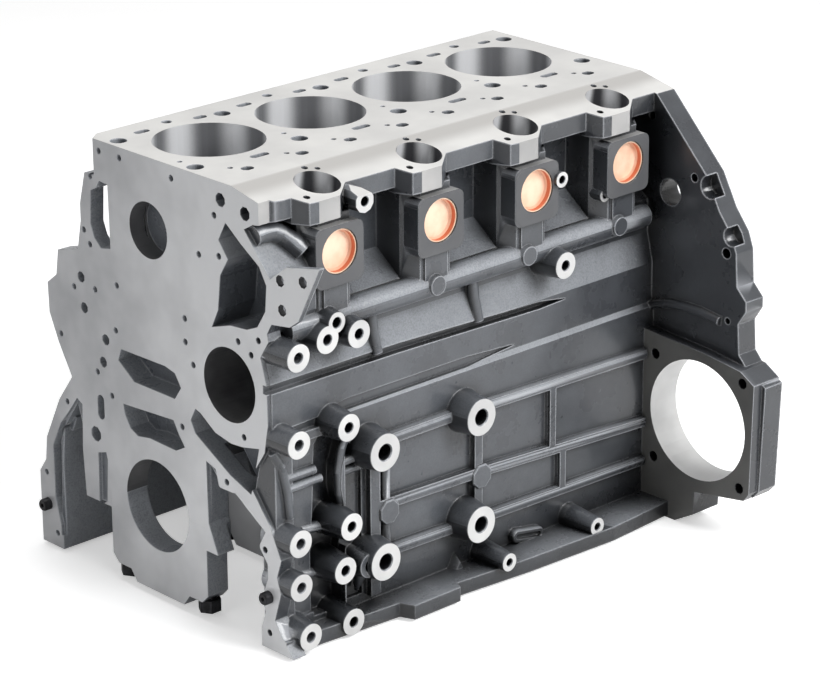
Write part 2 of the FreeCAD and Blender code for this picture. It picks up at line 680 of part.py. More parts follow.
def group(name, solids):
    """Separate alike solids as one sub-part."""
    result = doc.addObject("Part::Compound", f"{name}_group")
    result.Label = name
    result.Links = solids
    return result


pieces = [finished]
pieces += [bearing_cap(index) for index in bearings]
pieces.append(group("main_cap_bolts", [
    cap_bolt(f"bolt_{i + 1}", *place) for i, place in enumerate(cap_bolt_places)]))
pieces.append(group("core_plugs", [core_plug(index) for index in cylinders]))
pieces.append(group("front_dowels", [
    prism(f"dowel_{place}", "YZ", "0 - dowel_proud", "dowel_length - dowel_proud",
          cast_round(side, height, size("dowel_radius"), 12))
    for place, (side, height) in dowel_places.items()]))
doc.recompute()

failed = [item.Name for item in doc.Objects if "Invalid" in item.State or "Error" in item.State]
if failed:
    raise RuntimeError(f"failed objects: {failed}")
for piece in pieces:
    if piece.Shape.isNull() or not piece.Shape.isValid():
        raise RuntimeError(f"bad shape: {piece.Label}")
os.makedirs("parts", exist_ok=True)
for piece in pieces:
    piece.Shape.exportStep(f"parts/{piece.Label}.step")
    print(piece.Label, len(piece.Shape.Solids), round(piece.Shape.Volume / 1000, 1), "cm3")
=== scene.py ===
import math

import bmesh
import bpy
import numpy as np
from mathutils import Matrix


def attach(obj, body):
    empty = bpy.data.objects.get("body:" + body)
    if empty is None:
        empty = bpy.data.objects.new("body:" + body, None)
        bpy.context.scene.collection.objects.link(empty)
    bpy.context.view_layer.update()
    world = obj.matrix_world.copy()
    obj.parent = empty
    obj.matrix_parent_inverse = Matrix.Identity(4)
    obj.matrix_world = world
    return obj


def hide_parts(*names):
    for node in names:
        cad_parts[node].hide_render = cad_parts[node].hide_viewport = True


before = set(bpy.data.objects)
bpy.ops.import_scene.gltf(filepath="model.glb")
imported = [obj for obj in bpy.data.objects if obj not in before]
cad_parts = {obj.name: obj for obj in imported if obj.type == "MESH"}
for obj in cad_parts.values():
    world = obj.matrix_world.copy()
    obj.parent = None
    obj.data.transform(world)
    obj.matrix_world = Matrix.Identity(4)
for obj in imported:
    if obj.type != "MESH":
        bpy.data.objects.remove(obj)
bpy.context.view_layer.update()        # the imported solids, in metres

mm = 0.001

# Where things are on the block, in millimetres
block = {
    "length": 508, "deck": 332, "firstBore": 72, "pitch": 120, "boreRadius": 51, "boreFoot": 140,
    "crankRadius": 44, "camSide": -106, "camHeight": 148, "camRadius": 34.5,
    "pumpRadius": 20.7, "pumpTilt": 12, "pumpFoot": 180, "pumpRow": -138, "seatStart": -115,
    "plugHeight": 270, "plugFace": -172, "towerFace": -171, "towerFoot": 299,
    "columnStart": -22.4, "columnEnd": 2.4, "accessorySide": -230, "accessoryHeight": 18,
    "accessoryRadius": 60, "flangeFace": 472, "flangeSide": -145, "coolantHeight": 264,
    "coolantRadius": 26.2, "coolantDepth": 22, "rail": -90, "groundGap": 3,
}
boreX = block["firstBore"] + block["pitch"] * np.arange(4)
webX = block["firstBore"] + block["pitch"] * (np.arange(5) - 0.5)


def place(view, across, up, along):
    # front looks along X with Y across, side along Y with X across, top along Z with X across
    across, up, along = np.broadcast_arrays(across, up, along)
    order = {"front": (along, across, up), "side": (across, along, up), "top": (across, up, along)}
    return np.stack(order[view], axis=-1) * mm


def solidFromRings(rings):
    # rings of equal count joined by quads, with the first and the last ring closed by a face
    count, size = rings.shape[:2]
    index = np.arange(count * size).reshape(count, size)
    ahead = np.roll(index, -1, axis=1)
    quads = np.stack([index[:-1], ahead[:-1], ahead[1:], index[1:]], axis=-1).reshape(-1, 4)
    faces = quads.tolist() + [index[0][::-1].tolist(), index[-1].tolist()]
    return rings.reshape(-1, 3), faces


def turned(view, centre, profile, steps=40):
    # a circle of radius r at each depth of the profile, round an axis along the view
    angle = np.linspace(0, math.tau, steps, endpoint=False)
    radius, depth = np.array(profile, float).T
    across = centre[0] + radius[:, None] * np.cos(angle)
    up = centre[1] + radius[:, None] * np.sin(angle)
    return solidFromRings(place(view, across, up, depth[:, None]))


def inset(outline, amount):
    # every point moves inward along the mean of its two edge normals
    edge = np.roll(outline, -1, axis=0) - outline
    normal = np.stack([-edge[:, 1], edge[:, 0]], axis=1)
    normal /= np.linalg.norm(normal, axis=1, keepdims=True)
    area = np.sum(outline[:, 0] * np.roll(outline[:, 1], -1)
                  - np.roll(outline[:, 0], -1) * outline[:, 1])
    mean = normal + np.roll(normal, 1, axis=0)
    mean /= np.maximum(np.sum(mean * mean, axis=1, keepdims=True) / 2, 0.3)
    return outline + mean * amount * np.sign(area)


def slab(view, outline, levels):
    # the outline, drawn in by the first number of each level at the depth of its second
    outline = np.array(outline, float)
    rings = [place(view, *inset(outline, draw).T, depth) for draw, depth in levels]
    return solidFromRings(np.array(rings))


def stadium(centre, halfLength, radius, tilt=0.0, steps=12):
    # two half circles, the half length apart on both sides of the centre
    turn = np.linspace(-math.pi / 2, math.pi / 2, steps)
    right = np.stack([halfLength - radius + radius * np.cos(turn), radius * np.sin(turn)], axis=1)
    whole = np.concatenate([right, -right])
    spin = math.radians(tilt)
    matrix = np.array([[math.cos(spin), math.sin(spin)], [-math.sin(spin), math.cos(spin)]])
    return whole @ matrix + np.array(centre)


def tube(path, radius, steps=32):
    # circles square to a path of points, with one radius or one for each point
    points = np.array(path, float)
    heading = np.gradient(points, axis=0)
    heading /= np.linalg.norm(heading, axis=1, keepdims=True)
    side = np.cross(heading, [1.0, 0, 0] if np.abs(heading[:, 1]).mean() > 0.7 else [0, 1.0, 0])
    side /= np.linalg.norm(side, axis=1, keepdims=True)
    other = np.cross(heading, side)
    angle = np.linspace(0, math.tau, steps, endpoint=False)[None, :, None]
    radius = np.broadcast_to(radius, len(points))[:, None, None]
    rings = points[:, None] + radius * (np.cos(angle) * side[:, None] + np.sin(angle) * other[:, None])
    return solidFromRings(rings * mm)


def meshObject(name, solids):
    vertices, faces, offset = [], [], 0
    for points, polygons in solids:
        vertices.append(points)
        faces += [[corner + offset for corner in polygon] for polygon in polygons]
        offset += len(points)
    mesh = bpy.data.meshes.new(name)
    mesh.from_pydata(np.concatenate(vertices).tolist(), [], faces)
    work = bmesh.new()
    work.from_mesh(mesh)
    bmesh.ops.recalc_face_normals(work, faces=work.faces)
    work.to_mesh(mesh)
    work.free()
    piece = bpy.data.objects.new(name, mesh)
    bpy.context.scene.collection.objects.link(piece)
    return piece


def combine(target, solids, operation):
    # one exact Boolean of the target with all the solids, kept as the target's new mesh
    tool = meshObject("tool", solids)
    modifier = target.modifiers.new("combine", "BOOLEAN")
    modifier.operation = operation
    modifier.solver = "EXACT"
    modifier.use_self = operation == "UNION"
    modifier.object = tool
    bpy.context.view_layer.update()
    depsgraph = bpy.context.evaluated_depsgraph_get()
    result = bpy.data.meshes.new_from_object(target.evaluated_get(depsgraph))
    target.modifiers.clear()
    target.data = result
    bpy.data.objects.remove(tool)


def mergedCopy(node, name):
    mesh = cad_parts[node].data.copy()
    work = bmesh.new()
    work.from_mesh(mesh)
    bmesh.ops.remove_doubles(work, verts=work.verts, dist=0.01 * mm)
    work.to_mesh(mesh)
    work.free()
    mesh.materials.clear()
    piece = bpy.data.objects.new(name, mesh)
    bpy.context.scene.collection.objects.link(piece)
    return piece


class Field:
    # a socket of a shader tree that takes part in sums as a number does
    def __init__(self, tree, socket):
        self.tree = tree
        self.socket = socket

    def node(self, kind, settings, inputs, output=0):
        node = self.tree.nodes.new(kind)
        for key, value in settings.items():
            setattr(node, key, value)
        for key, value in inputs.items():
            if isinstance(value, Field):
                self.tree.links.new(value.socket, node.inputs[key])
            else:
                node.inputs[key].default_value = value
        return Field(self.tree, node.outputs[output])

    def math(self, operation, first, second=0.0):
        return self.node("ShaderNodeMath", {"operation": operation}, {0: first, 1: second})

    def __add__(self, other):
        return self.math("ADD", self, other)

    def __radd__(self, other):
        return self.math("ADD", other, self)

    def __sub__(self, other):
        return self.math("SUBTRACT", self, other)

    def __rsub__(self, other):
        return self.math("SUBTRACT", other, self)

    def __mul__(self, other):
        return self.math("MULTIPLY", self, other)

    def __truediv__(self, other):
        return self.math("DIVIDE", self, other)

    def larger(self, other):
        return self.math("MAXIMUM", self, other)

    def sine(self):
        return self.math("SINE", self)

    def between(self, low, high):
        settings = {"interpolation_type": "SMOOTHSTEP"}
        inputs = {"Value": self, "From Min": low, "From Max": high}
        return self.node("ShaderNodeMapRange", settings, inputs)

    def part(self, axis):
        return self.node("ShaderNodeSeparateXYZ", {}, {0: self}, axis)

    def mix(self, first, second):
        # colours by this field as the factor
        return self.node("ShaderNodeMix", {"data_type": "RGBA"}, {0: self, 6: first, 7: second}, 2)

    def noise(self, scale, detail, roughness, stretch=(1, 1, 1)):
        spread = self.node("ShaderNodeVectorMath", {"operation": "MULTIPLY"},
                           {0: self, 1: stretch})
        inputs = {"Vector": spread, "Scale": scale, "Detail": detail, "Roughness": roughness}
        return self.node("ShaderNodeTexNoise", {}, inputs)

    def trueNormal(self):
        return self.node("ShaderNodeNewGeometry", {}, {}, 3)

    def roundedNormal(self, radius, samples=4):
        return self.node("ShaderNodeBevel", {"samples": samples}, {"Radius": radius})

    def bump(self, strength, **inputs):
        # this field as a height
        return self.node("ShaderNodeBump", {}, {
            "Strength": strength, "Distance": 1.0, "Height": self, **inputs})


def linear(*channels):
    # screen levels from 0 to 255 as scene colour
    level = np.array(channels) / 255
    return (*np.where(level < 0.04045, level / 12.92, ((level + 0.055) / 1.055) ** 2.4), 1.0)


def newMaterial(name):
    material = bpy.data.materials.new(name)
    material.use_nodes = True
    tree = material.node_tree
    shader = tree.nodes["Principled BSDF"]
    coordinates = tree.nodes.new("ShaderNodeTexCoord")
    return material, shader, Field(tree, coordinates.outputs["Object"])


def wire(shader, **values):
    for key, value in values.items():
        socket = shader.inputs[key.replace("_", " ")]
        if isinstance(value, Field):
            value.tree.links.new(value.socket, socket)
        else:
            socket.default_value = value


# In the finishes a noise is its scale, detail and roughness, a range is where a blend starts and
# where it is full, a share is how much of it shows, and places and heights are in metres
cast = {
    "dark": linear(72, 75, 80), "light": linear(97, 101, 107), "deep": linear(52, 54, 58),
    # the cavity tone is painted shade, the edge tone a painted highlight, the sheen tone painted sheen
    # and painted light, and the shade tone painted shade
    "cavityShade": linear(12, 13, 15), "edgeHighlight": linear(206, 209, 215),
    "paintedLight": linear(186, 190, 196), "shade": linear(30, 31, 34),
    "cloudNoise": (22, 4, 0.6), "cloudRange": (0.3, 0.72), "cloudShare": 0.7,
    "grainNoise": (620, 3, 0.62), "grainRange": (0.62, 0.3), "grainShare": 0.3,
    "grainHeight": 0.00014, "peelNoise": (95, 2, 0.5), "peelHeight": 0.00036, "bump": 0.8,
    "edge": 0.0026, "edgeRange": (0.995, 0.86), "edgeHighlightShare": 0.8,
    "insideRange": (-0.14, -0.11), "insideShare": 0.7, "insideOpen": 0.85,
    "forwardRange": (0.4, 0.95), "forwardShare": 0.66, "rearRange": (0.2, 0.5), "rearShare": 0.55,
    "liftedRange": (0.04, 0.3), "liftedEnd": (0.46, 0.48), "liftedShare": 0.58,
    "skirtRange": (-0.1, -0.06), "skirtFacing": (0.4, 0.9), "skirtShare": 0.6,
    "reach": 0.055, "hiddenRange": (0.95, 0.35), "frontRange": (0.06, 0.03), "frontOpen": 0.4,
    "roughness": 0.3, "roughnessSpread": 0.12, "coat": 0.4, "coatRoughness": 0.16, "samples": 6,
}


def castSkin(name, values):
    # painted sand casting: cloudy tone, fine grain, soft orange peel, painted shade in cavities, a
    # painted highlight on rounded edges, a painted sheen on what leans upward, painted light inside
    # the far skirt and away from the pump flank, and painted shade toward the rear and on walls that
    # look forward; the edge shows where the rounded normal leaves the true one
    material, shader, spot = newMaterial(name)
    cloud = spot.noise(*values["cloudNoise"]).between(*values["cloudRange"])
    grain = spot.noise(*values["grainNoise"])
    peel = spot.noise(*values["peelNoise"])
    bevel = spot.roundedNormal(values["edge"], values["samples"])
    flat = spot.trueNormal()
    facing = spot.node("ShaderNodeVectorMath", {"operation": "DOT_PRODUCT"}, {0: bevel, 1: flat}, 1)
    edge = facing.between(*values["edgeRange"])
    openness = spot.node("ShaderNodeAmbientOcclusion", {"samples": values["samples"]},
                         {"Distance": values["reach"]}, 1)
    inside = spot.part(1).between(*values["insideRange"])
    # painted shade on walls that look forward and, growing, toward the rear
    forward = (0.0 - flat.part(0)).between(*values["forwardRange"]) * (1.0 - inside)
    rearward = spot.part(0).between(*values["rearRange"]) * values["rearShare"]
    # faces away from the pump flank are painted lighter, as painted light
    tone = (cloud * values["cloudShare"] + inside * values["insideShare"]).mix(
        values["dark"], values["light"])
    tone = (forward * values["forwardShare"]).larger(rearward).mix(tone, values["shade"])
    # a painted sheen on faces that lean upward, except at the rear
    lifted = flat.part(2).between(*values["liftedRange"]) * (
        1.0 - spot.part(0).between(*values["liftedEnd"]))
    tone = (lifted * values["liftedShare"]).mix(tone, values["paintedLight"])
    # painted light on walls inside the far skirt that face the pump side
    skirt = spot.part(1).between(*values["skirtRange"]) * (0.0 - flat.part(1)).between(
        *values["skirtFacing"])
    tone = (skirt * values["skirtShare"]).mix(tone, values["paintedLight"])
    tone = (grain.between(*values["grainRange"]) * values["grainShare"]).mix(tone, values["deep"])
    # a painted highlight in the base colour along open rounded edges
    tone = (edge * openness * values["edgeHighlightShare"]).mix(tone, values["edgeHighlight"])
    # painted shade in cavities and hollows, weaker inside and near the front face
    nearFront = spot.part(0).between(*values["frontRange"]) * values["frontOpen"]
    hidden = openness.between(*values["hiddenRange"]) * (
        1.0 - (inside * values["insideOpen"]).larger(nearFront))
    colour = hidden.mix(tone, values["cavityShade"])
    height = grain * values["grainHeight"] + peel * values["peelHeight"]
    wire(shader, Base_Color=colour, Normal=height.bump(values["bump"], Normal=bevel),
         Roughness=values["roughness"] + (cloud - 0.5) * values["roughnessSpread"],
         Specular_IOR_Level=0.5, Coat_Weight=values["coat"],
         Coat_Roughness=values["coatRoughness"])
    return material


machined = {
    "bright": linear(240, 239, 236), "dull": linear(220, 219, 217), "metallic": 0.2,
    "stainNoise": (14, 3, 0.55), "stainRange": (0.25, 0.75), "stainShare": 0.5,
    "distanceShare": 0.8, "lineNoise": (1500, 2, 0.6), "lineHeight": 0.00002, "bump": 0.5,
    "edge": 0.0006, "roughness": 0.36, "roughnessSpread": 0.1,
}


def cutFace(name, values, stretch):
    # a milled or turned face: faint tool lines, drawn out along the axis whose stretch is small,
    # and soft stains; far and near fade in painted light across the block and the band is a strip of
    # painted shade, in mm
    material, shader, spot = newMaterial(name)
    stainAndPaintedLight = spot.noise(*values["stainNoise"]).between(*values["stainRange"])
    lines = spot.noise(*values["lineNoise"], stretch)
    # far and near paint light across the face, lighter toward near
    if "far" in values:
        distance = spot.part(1).between(values["far"] * mm, values["near"] * mm)
        stainAndPaintedLight = stainAndPaintedLight * values["stainShare"] + distance * values["distanceShare"]
    colour = stainAndPaintedLight.mix(values["dull"], values["bright"])
    # the band is a strip of painted shade
    if "band" in values:
        start, full, fade, end = (edge * mm for edge in values["band"])
        band = spot.part(1).between(start, full) * spot.part(1).between(end, fade)
        colour = band.mix(colour, values["bandShade"])
    bevel = spot.roundedNormal(values["edge"])
    wire(shader, Base_Color=colour, Metallic=values["metallic"],
         Roughness=values["roughness"] + (lines - 0.5) * values["roughnessSpread"],
         Normal=(lines * values["lineHeight"]).bump(values["bump"], Normal=bevel))
    return material


honed = {
    "bright": linear(244, 245, 247), "dull": linear(122, 123, 126), "waves": 6, "peak": 82,
    "lean": 52, "leanShare": 0.12, "firstNoise": (900, 1, 0.5, (1, 1, 6)),
    "secondNoise": (500, 1, 0.5, (1, 1, 9)), "hatchShare": 0.3, "toneRange": (0.05, 1.05),
    "roughness": 0.3, "roughnessSpread": 0.06, "metallic": 0.35,
}


def honedWall(name, values, row):
    # painted reflections as soft bands down the wall by the angle round the nearest axis of the row,
    # brightest at the peak and on the side of the lean, both in degrees, and a fine hatch
    material, shader, spot = newMaterial(name)
    pitch = block["pitch"] * mm
    turn = (spot.part(0) - block["firstBore"] * mm) / pitch
    across = (turn - turn.math("ROUND", turn)) * pitch
    angle = across.math("ARCTAN2", spot.part(1) - row * mm, across)
    phase = angle * values["waves"] - (values["waves"] * math.radians(values["peak"]) - math.pi / 2)
    # the bands round the bore are painted reflections in the base colour
    paintedReflection = phase.sine() * 0.5 + 0.5
    lean = (angle - math.radians(values["lean"])).sine() * values["leanShare"]
    hatch = (spot.noise(*values["firstNoise"]) + spot.noise(*values["secondNoise"])) * 0.5
    tone = paintedReflection + lean + (hatch - 0.5) * values["hatchShare"]
    colour = tone.between(*values["toneRange"]).mix(values["dull"], values["bright"])
    wire(shader, Base_Color=colour, Metallic=values["metallic"],
         Roughness=values["roughness"] + (hatch - 0.5) * values["roughnessSpread"])
    return material


plugFinish = {
    "bright": linear(255, 226, 200), "dull": linear(248, 206, 176), "wall": linear(206, 112, 78),
    "cloudNoise": (70, 3, 0.5), "cloudRange": (0.3, 0.7), "fineNoise": (900, 2, 0.5),
    "fineHeight": 0.00003, "bump": 0.3, "floorRange": (0.2, 0.9), "roughness": 0.34,
    "roughnessSpread": 0.12, "metallic": 0.25,
}


def copperSkin(name, values):
    # thin copper plating, a little cloudy; the drawn walls are painted darker than the floor, as
    # painted shade
    material, shader, spot = newMaterial(name)
    cloud = spot.noise(*values["cloudNoise"]).between(*values["cloudRange"])
    fine = spot.noise(*values["fineNoise"]) * values["fineHeight"]
    outward = 0.0 - spot.trueNormal().part(1)
    floor = cloud.mix(values["dull"], values["bright"])
    wire(shader, Base_Color=outward.between(*values["floorRange"]).mix(values["wall"], floor),
         Metallic=values["metallic"], Normal=fine.bump(values["bump"]),
         Roughness=values["roughness"] + cloud * values["roughnessSpread"])
    return material


blackened = {
    "dark": linear(20, 20, 22), "light": linear(48, 48, 52), "rubNoise": (160, 3, 0.6),
    "rubRange": (0.35, 0.75), "edge": 0.0007, "roughness": 0.4, "roughnessSpread": 0.1,
    "metallic": 0.55,
}


def blackOxide(name, values):
    # blackened steel with lighter rubbed patches
    material, shader, spot = newMaterial(name)
    rub = spot.noise(*values["rubNoise"]).between(*values["rubRange"])
    wire(shader, Base_Color=rub.mix(values["dark"], values["light"]), Metallic=values["metallic"],
         Roughness=values["roughness"] + rub * values["roughnessSpread"],
         Normal=spot.roundedNormal(values["edge"]))
    return material


# Materials
castIron = castSkin("castIron", cast)
# a darker copy of the cast skin, painted shade for the sides of the boss stumps
shadedStumpIron = castSkin("shadedStumpIron", {**cast, "dark": linear(40, 42, 46), "light": linear(60, 63, 68),
                                   "paintedLight": linear(120, 124, 130)})
# the deck's band is painted shade over the start of the leaning seats
deckCut = cutFace("deckCut", {**machined, "bright": linear(226, 225, 222),
                              "dull": linear(208, 207, 205), "metallic": 0.3,
                              "band": (-112, -117, -126, -146),
                              "bandShade": linear(186, 184, 181)}, (1, 0.05, 1))
# faces cut this way are painted lighter toward the pump side, as painted light
faceCut = cutFace("faceCut", {**machined, "bright": linear(206, 207, 209),
                              "dull": linear(154, 155, 158), "metallic": 0.25, "far": 130,
                              "near": -130}, (1, 1, 0.06))
# the flange face of the accessory mount is given dark tones as painted shade
shadedFlangeCut = cutFace("shadedFlangeCut", {**machined, "bright": linear(104, 104, 102),
                                  "dull": linear(86, 86, 85)}, (1, 0.06, 1))
bossCut = cutFace("bossCut", {**machined, "bright": linear(224, 224, 223),
                              "dull": linear(196, 196, 196), "metallic": 0.3}, (0.2, 1, 1))
columnCut = cutFace("columnCut", {**machined, "bright": linear(186, 185, 184),
                                  "dull": linear(160, 160, 160), "metallic": 0.3}, (1, 1, 0.05))
# both rows of bores carry the painted reflection bands
boreWall = honedWall("boreWall", honed, 0)
pumpWall = honedWall("pumpWall", {**honed, "dull": linear(66, 66, 69), "waves": 4, "peak": 108},
                     block["pumpRow"])
holeWall = cutFace("holeWall", {**machined, "bright": linear(130, 130, 131),
                                "dull": linear(84, 84, 87), "metallic": 0.5}, (1, 1, 1))
padCut = cutFace("padCut", {**machined, "bright": linear(98, 99, 101),
                            "dull": linear(84, 85, 88)}, (0.2, 1, 1))
copper = copperSkin("copper", plugFinish)
blackSteel = blackOxide("blackSteel", blackened)
blockMaterials = {"cast": castIron, "deck": deckCut, "face": faceCut, "flange": shadedFlangeCut,
                  "boss": bossCut, "bore": boreWall, "hole": holeWall, "pad": padCut,
                  "pump": pumpWall, "column": columnCut, "stump": shadedStumpIron, "ear": blackSteel}
slotOf = {kind: index for index, kind in enumerate(blockMaterials)}
print("materials made")

# Round bosses on the pump side: their middles in X and Z, the radius and depth of the face, the depth
# of the foot, and the hole's radius, bottom and chamfer. The lug of the deck is the solid's own and
# has only its hole here, and a rough boss has no bright face.
flankRoot = -150
bosses = {
    "small": {"spots": [(13, 17), (13, -25), (23, -76), (74, -78), (65, -25), (73, 15), (71, 110),
                        (13, 110), (14, 190), (84, 194), (340, 194)],
              "radius": 12.6, "face": -182, "root": -143, "hole": 4.6, "bottom": -162},
    "mount": {"spots": [(111, 76), (111, -30), (230, 76), (230, -30)], "radius": 17.5,
              "face": -185, "root": -152, "hole": 7.5, "bottom": -158, "chamfer": 1},
    "rail": {"spots": [(252, -70), (369, -70)], "radius": 8.7, "face": -200, "root": flankRoot,
             "hole": 3.4, "bottom": -172},
    "oval": {"spots": [(97, -31)], "radius": 11.5, "face": -179, "root": flankRoot,
             "hole": 5, "bottom": -160, "rough": True},
    "plugStud": {"spots": [(340.2, 275)], "radius": 7.4, "face": -176, "root": -128, "flare": 0.2,
                 "hole": 3.6, "bottom": -162, "chamfer": 0.5},
    "lowStud": {"spots": [(409, 242)], "radius": 6.5, "face": -165, "root": -128, "flare": 0.2,
                "hole": 3, "bottom": -151, "chamfer": 0.5},
    "linkLow": {"spots": [(51, 196)], "radius": 12.5, "face": -178, "root": flankRoot,
                "hole": 4.6, "bottom": -160},
    "linkHigh": {"spots": [(62, 209)], "radius": 9.5, "face": -178, "root": flankRoot,
                 "hole": 4.6, "bottom": -160},
    "deckLug": {"spots": [(94, 312)], "radius": 10.5, "face": -180, "hole": 4.2, "bottom": -166,
                "chamfer": 0.6},
}
knobs = {"spots": [(62, 209), (190, 209), (305, 209), (425, 209)], "radius": 9, "face": -171,
         "root": flankRoot}
stump = {"flare": 4, "frontGap": 0.1, "foot": 0.8, "footAt": 0.35, "neck": 0.1, "neckAt": 3}
drilling = {"chamfer": 0.8, "past": 1, "point": 0.1, "cone": 0.5, "steps": 28}


def stumps(kind):
    # cast stumps that widen to the foot where the front face and the ground leave room
    radius, face, root = kind["radius"], kind["face"], kind["root"]
    solids = []
    for x, z in kind["spots"]:
        flare = min(kind.get("flare", stump["flare"]), x - radius - stump["frontGap"],
                    z - radius - block["rail"] + block["groundGap"])
        solids.append(turned("side", (x, z), [
            (radius + flare, root),
            (radius + flare * stump["foot"], root + (face - root) * stump["footAt"]),
            (radius + flare * stump["neck"], face + stump["neckAt"]), (radius, face)]))
    return solids


def drill(view, spot, radius, mouth, bottom, chamfer=drilling["chamfer"]):
    # a countersunk mouth, a straight wall and a drill point
    into = 1 if bottom > mouth else -1
    return turned(view, spot, [
        (radius + chamfer + drilling["past"], mouth - into * drilling["past"]),
        (radius, mouth + into * chamfer), (radius, bottom),
        (radius * drilling["point"], bottom + into * radius * drilling["cone"])],
        drilling["steps"])


# Small holes: by Y and Z in the front face and the rear plate, and by X and Y in the deck, where X is
# from a web or a bore; each with its radius, its depth or the place of its bottom, and its chamfer
frontHoles = {
    "depth": 16, "radius": 2.7, "chamfer": 0.5,
    "spots": [(38, 322), (-34, 320), (67, 322), (81, 295), (-91, 300), (93, 242), (85, 230),
              (-69, 259), (-96, 264), (111, 183), (80, 188), (48, 200), (134, 131), (52, 156),
              (-47, 194), (-47, 172), (81, 108), (-57, 153), (-119, 192), (-146, 200),
              (-136, 184), (129, 65), (61, 90), (-39, 89), (-124, 104), (-99, 54), (166, -17),
              (153, -76), (-149, 5), (-153, -74)],
}
rearHoles = {"mouth": 470, "notchBottom": 498,
             "spots": [(-153, 301, 4, 502), (-178, 231, 13, 512), (-208, 252, 4, 502),
                       (-250, 188, 5, 502), (-254, 122, 3, 502)],
             "notches": [(-227, 247, 11), (-255, 205, 9)]}
earHoles = {"spots": [(-176, 262), (-205, 268), (-178, 236)], "reach": 6, "depth": 7}
headBolts = {"sides": (53, -53), "radius": 7.6, "bottom": 300, "chamfer": 0.3}
deckHoles = {
    "drilled": [(-60, -32, 2.2, 318, 0.4), (7, 68, 4.5, 314, 0.5)], "mouth": 345, "steps": 20,
    "plain": [(-40, -76, 2.6, 300), (23, -78, 2.6, 300), (-27, -160.5, 3.2, 300),
              (8, -118.4, 3, 325), (17.5, -124.5, 2.6, 325)],
}


def holeSolids():
    solids = [drill("front", spot, frontHoles["radius"], 0, frontHoles["depth"],
                    frontHoles["chamfer"]) for spot in frontHoles["spots"]]
    solids += [drill("side", spot, kind["hole"], kind["face"], kind["bottom"],
                     kind.get("chamfer", drilling["chamfer"]))
               for kind in bosses.values() for spot in kind["spots"]]
    solids += [drill("top", (x, side), headBolts["radius"], block["deck"], headBolts["bottom"],
                     headBolts["chamfer"]) for x in webX for side in headBolts["sides"]]
    for x in boreX:
        solids += [drill("top", (x + across, side), radius, block["deck"], bottom, chamfer)
                   for across, side, radius, bottom, chamfer in deckHoles["drilled"]]
        solids += [turned("top", (x + across, side),
                          [(radius, deckHoles["mouth"]), (radius, bottom)], deckHoles["steps"])
                   for across, side, radius, bottom in deckHoles["plain"]]
    solids += [turned("front", (y, z), [(radius, rearHoles["mouth"]), (radius, bottom)],
                      drilling["steps"])
               for y, z, radius, bottom in rearHoles["spots"]]
    solids += [turned("front", (y, z), [(radius, rearHoles["mouth"]),
                                        (radius, rearHoles["notchBottom"])])
               for y, z, radius in rearHoles["notches"]]
    return solids


# Round ribs and the oil gallery on the pump side, each a path of X, Y, Z and a radius
ribs = [
    ([(20, -157, 207), (240, -157, 207), (470, -157, 207)], 11.6),
    ([(124, -161, 76), (209, -161, 76), (470, -161, 68.5)], 6),
    ([(128, -161, 14), (254, -161, 11), (470, -161, -1.5)], 5.6),
    ([(128, -161, -32), (263, -161, -36.5), (470, -161, -42)], 5.6),
    ([(245, -160, 72), (245, -160, 20), (245, -160, -30)], 5.6),
    ([(342, -160, 66), (342, -160, 30), (342, -160, 6)], 5),
    ([(356, -160, -2), (356, -160, -20), (356, -160, -36)], 5),
    ([(132, -160, 64), (132, -160, 10), (132, -160, -24)], 5.6),
    ([(129, -155, 158), (125, -154, 180), (122, -154, 204)], 5.6),
    ([(254, -155, 156), (249, -154, 180), (246, -154, 204)], 5.6),
    ([(17, -158, 70), (50, -158, 70)], 4.4),
    ([(17, -158, 60), (57, -158, 60)], 4.4),
    ([(78, -160, 68), (106, -161, 70)], 4.4),
    ([(80, -160, 59), (110, -161, 60)], 4.4),
    ([(36, -153, 14), (76, -153, 10)], 5.2),
    ([(36, -153, -29), (74, -153, -33)], 5.2),
    ([(92, -160, 102), (80, -161, 82), (75.5, -161, 60), (76, -161, 40), (83, -160, 16)], 4.2),
    ([(3, -158, 99), (10, -161, 84), (15, -162, 60), (18, -162, 34)], 4.2),
    ([(97, -167, -33), (96.5, -164, -46), (96, -161, -60)], (10, 6, 2)),
    ([(4, -139, 292), (13, -139.5, 293), (23, -140.5, 292.5), (31, -144, 288.5),
      (38, -151, 280.5), (43, -157, 273.5)], 8.8),
    ([(483, -140, 104), (483, -152, 111), (483, -164, 116.5), (483, -183, 121.5),
      (483, -202, 123), (483, -221, 123), (483, -246, 120)], 4.6),
]
padCorner = {"half": 27.4, "radius": 7, "reach": 12, "height": 267, "face": -171.9, "root": -140}
knots = {"spots": [(248, 7.6), (132, 7)], "radius": 12.5, "face": -168.2, "edge": 1}
gusset = {"outline": [(208, -80), (229, -82), (219, -62)],
          "levels": [(0, flankRoot), (0, -161), (3.4, -169)]}
ovalPad = {"spot": (310, -71), "half": 21, "radius": 6.6, "tilt": -10.4, "face": -167, "edge": 1.5,
           "innerHalf": 16.6, "innerRadius": 2.6, "innerMouth": -174, "innerFloor": -164}
# the cooler side wall is thin at its bend, and this strip behind it closes it
wallStrip = {"outline": [(130, 45.5), (136.03, 45.5), (141.98, 30.2), (137, 30.2)],
             "levels": [(0, 11), (0, 485)]}

